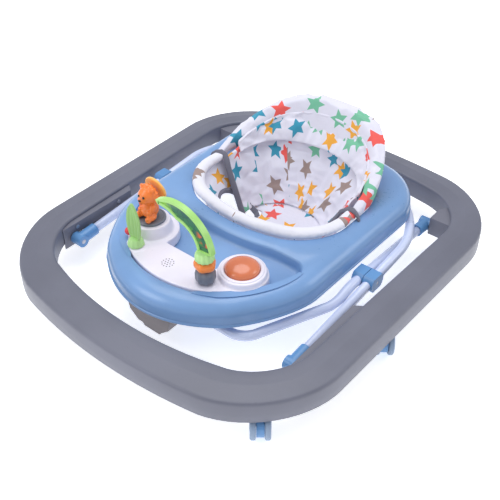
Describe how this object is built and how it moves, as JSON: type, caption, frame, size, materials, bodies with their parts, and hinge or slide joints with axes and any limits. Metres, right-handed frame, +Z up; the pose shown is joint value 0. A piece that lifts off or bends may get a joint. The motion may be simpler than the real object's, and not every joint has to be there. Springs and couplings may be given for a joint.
{
  "type": "baby walker",
  "caption": "Wheeled base ring with crossed folding legs that lift a play tray and a padded fabric seat with leg holes.",
  "frame": {"origin": "middle of the base ring on the floor under the wheels", "axes": "+Z up, -Y towards the toy tray end, +X to the right as seen from the front end looking along +Y"},
  "size_m": [0.6202, 0.7, 0.239],
  "materials": {
    "ring_grey": "fine moulded texture, satin",
    "rail_grey": "satin",
    "pad_rubber": "matte",
    "screw_steel": "plated",
    "tube_paint": "gloss powder coat",
    "fitting_blue": "moulded, semi-gloss",
    "pin_steel": "plated",
    "bush_white": "moulded",
    "tray_blue": "blow-moulded, semi-gloss",
    "housing_grey": "moulded",
    "seat_cloth": "woven polyester with printed stars, padded",
    "roll_cloth": "padded fabric roll",
    "panel_white": "gloss",
    "battery_cell": "foil wrap",
    "board_green": "solder mask",
    "speaker_black": "matte",
    "dome_orange": "gloss, slightly translucent",
    "toy_grey": "gloss",
    "figure_orange": "moulded soft vinyl",
    "disc_yellow": "gloss",
    "arch_green": "printed sheet in a light green frame",
    "foot_green": "gloss",
    "leaf_green": "ribbed, translucent",
    "bead_orange": "gloss",
    "bead_red": "gloss",
    "caster_blue": "moulded",
    "wheel_blue": "moulded wheel with grey tread"
  },
  "bodies": {
    "base": {"base_ring": "ring_grey", "slide_rail_left": "rail_grey", "slide_rail_right": "rail_grey", "rear_bracket_left": "rail_grey", "rear_bracket_right": "rail_grey", "caster_sockets": "rail_grey", "friction_pads": "pad_rubber", "rail_screws": "screw_steel"},
    "rear_legs": {"rear_leg_tube": "tube_paint", "rear_leg_caps": "fitting_blue", "rear_pivot_pins": "pin_steel", "inner_clamps": "fitting_blue", "cross_pins": "pin_steel"},
    "front_legs": {"front_leg_tube": "tube_paint", "front_leg_caps": "fitting_blue", "slot_pins": "pin_steel", "outer_clamps": "fitting_blue", "bearing_bushes": "bush_white"},
    "tray": {"tray_shell": "tray_blue", "tray_bearings": "tray_blue", "bearing_screws": "screw_steel", "height_housing": "housing_grey", "seat_bucket": "seat_cloth", "seat_rim_roll": "roll_cloth", "backrest_pad": "seat_cloth", "seat_clips": "bush_white", "toy_panel": "panel_white", "panel_screws": "screw_steel", "battery_door": "bush_white", "batteries": "battery_cell", "speaker": "speaker_black", "circuit_board": "board_green", "arch_post": "panel_white", "toy_arch": "arch_green", "arch_foot": "foot_green", "red_bead_pin": "panel_white"},
    "height_release": {"release_handle": "housing_grey"},
    "dome": {"dome_button": "dome_orange"},
    "turntable": {"turntable_disc": "toy_grey", "toy_figure": "figure_orange", "figure_disc": "disc_yellow"},
    "orange_ring": {"orange_bead": "bead_orange"},
    "grey_ring": {"grey_bead": "toy_grey"},
    "leaf": {"leaf_knob": "foot_green", "leaf_blade": "leaf_green"},
    "red_ball": {"red_bead": "bead_red"},
    "caster_front_left": {"caster_front_left": "caster_blue"},
    "wheels_front_left": {"wheels_front_left": "wheel_blue"},
    "caster_front_right": {"caster_front_right": "caster_blue"},
    "wheels_front_right": {"wheels_front_right": "wheel_blue"},
    "caster_mid_left": {"caster_mid_left": "caster_blue"},
    "wheels_mid_left": {"wheels_mid_left": "wheel_blue"},
    "caster_mid_right": {"caster_mid_right": "caster_blue"},
    "wheels_mid_right": {"wheels_mid_right": "wheel_blue"},
    "caster_rear_left": {"caster_rear_left": "caster_blue"},
    "wheels_rear_left": {"wheels_rear_left": "wheel_blue"},
    "caster_rear_right": {"caster_rear_right": "caster_blue"},
    "wheels_rear_right": {"wheels_rear_right": "wheel_blue"}
  },
  "joints": [
    {"name": "leg_lift", "type": "hinge", "parent": "base", "child": "rear_legs", "pos_m": [0, 0.224, 0.05299], "axis": [-1, 0, 0], "range_deg": [0, 38]},
    {"name": "leg_cross", "type": "hinge", "parent": "rear_legs", "child": "front_legs", "pos_m": [0, 0.018, 0.07], "axis": [1, 0, 0], "range_deg": [0, 76]},
    {"name": "tray_level", "type": "hinge", "parent": "front_legs", "child": "tray", "pos_m": [0, 0.224, 0.067], "axis": [-1, 0, 0], "range_deg": [0, 38]},
    {"name": "release_pull", "type": "slide", "parent": "tray", "child": "height_release", "axis": [0, -1, 0], "range_m": [0, 0.008], "stiffness_N_per_m": 300, "springref_m": -0.003},
    {"name": "dome_press", "type": "slide", "parent": "tray", "child": "dome", "axis": [0, 0, -1], "range_m": [0, 0.004], "stiffness_N_per_m": 400, "springref_m": -0.003},
    {"name": "turntable_spin", "type": "hinge", "parent": "tray", "child": "turntable", "pos_m": [-0.087, -0.146, 0.14], "axis": [0, 0, 1], "continuous": true},
    {"name": "orange_spin", "type": "hinge", "parent": "tray", "child": "orange_ring", "pos_m": [0.065, -0.189, 0.15], "axis": [0, 0, 1], "continuous": true},
    {"name": "grey_spin", "type": "hinge", "parent": "tray", "child": "grey_ring", "pos_m": [0.065, -0.189, 0.13], "axis": [0, 0, 1], "continuous": true},
    {"name": "leaf_turn", "type": "hinge", "parent": "tray", "child": "leaf", "pos_m": [-0.074, -0.193, 0.13], "axis": [0, 0, 1], "range_deg": [-60, 60]},
    {"name": "red_ball_spin", "type": "hinge", "parent": "tray", "child": "red_ball", "pos_m": [-0.098, -0.184, 0.13], "axis": [0, 0, 1], "continuous": true},
    {"name": "swivel_front_left", "type": "hinge", "parent": "base", "child": "caster_front_left", "pos_m": [-0.22977, -0.2675, 0.05], "axis": [0, 0, 1], "continuous": true},
    {"name": "roll_front_left", "type": "hinge", "parent": "caster_front_left", "child": "wheels_front_left", "pos_m": [-0.22428, -0.27929, 0.021], "axis": [-0.9063, -0.4226, 0], "continuous": true},
    {"name": "swivel_front_right", "type": "hinge", "parent": "base", "child": "caster_front_right", "pos_m": [0.22977, -0.2675, 0.05], "axis": [0, 0, 1], "continuous": true},
    {"name": "roll_front_right", "type": "hinge", "parent": "caster_front_right", "child": "wheels_front_right", "pos_m": [0.23795, -0.27761, 0.021], "axis": [-0.7771, -0.6293, 0], "continuous": true},
    {"name": "swivel_mid_left", "type": "hinge", "parent": "base", "child": "caster_mid_left", "pos_m": [-0.27697, -0.028, 0.05], "axis": [0, 0, 1], "continuous": true},
    {"name": "roll_mid_left", "type": "hinge", "parent": "caster_mid_left", "child": "wheels_mid_left", "pos_m": [-0.26702, -0.03636, 0.021], "axis": [-0.6428, -0.766, 0], "continuous": true},
    {"name": "swivel_mid_right", "type": "hinge", "parent": "base", "child": "caster_mid_right", "pos_m": [0.27697, -0.028, 0.05], "axis": [0, 0, 1], "continuous": true},
    {"name": "roll_mid_right", "type": "hinge", "parent": "caster_mid_right", "child": "wheels_mid_right", "pos_m": [0.2848, -0.03838, 0.021], "axis": [-0.7986, -0.6018, 0], "continuous": true},
    {"name": "swivel_rear_left", "type": "hinge", "parent": "base", "child": "caster_rear_left", "pos_m": [-0.24239, 0.27648, 0.05], "axis": [0, 0, 1], "continuous": true},
    {"name": "roll_rear_left", "type": "hinge", "parent": "caster_rear_left", "child": "wheels_rear_left", "pos_m": [-0.2355, 0.26545, 0.021], "axis": [-0.848, -0.5299, 0], "continuous": true},
    {"name": "swivel_rear_right", "type": "hinge", "parent": "base", "child": "caster_rear_right", "pos_m": [0.24239, 0.27648, 0.05], "axis": [0, 0, 1], "continuous": true},
    {"name": "roll_rear_right", "type": "hinge", "parent": "caster_rear_right", "child": "wheels_rear_right", "pos_m": [0.25142, 0.26713, 0.021], "axis": [-0.7193, -0.6947, 0], "continuous": true}
  ],
  "couplings": [
    {"joint": "leg_cross", "follows": "leg_lift", "ratio": 2},
    {"joint": "tray_level", "follows": "leg_lift", "ratio": 1}
  ]
}
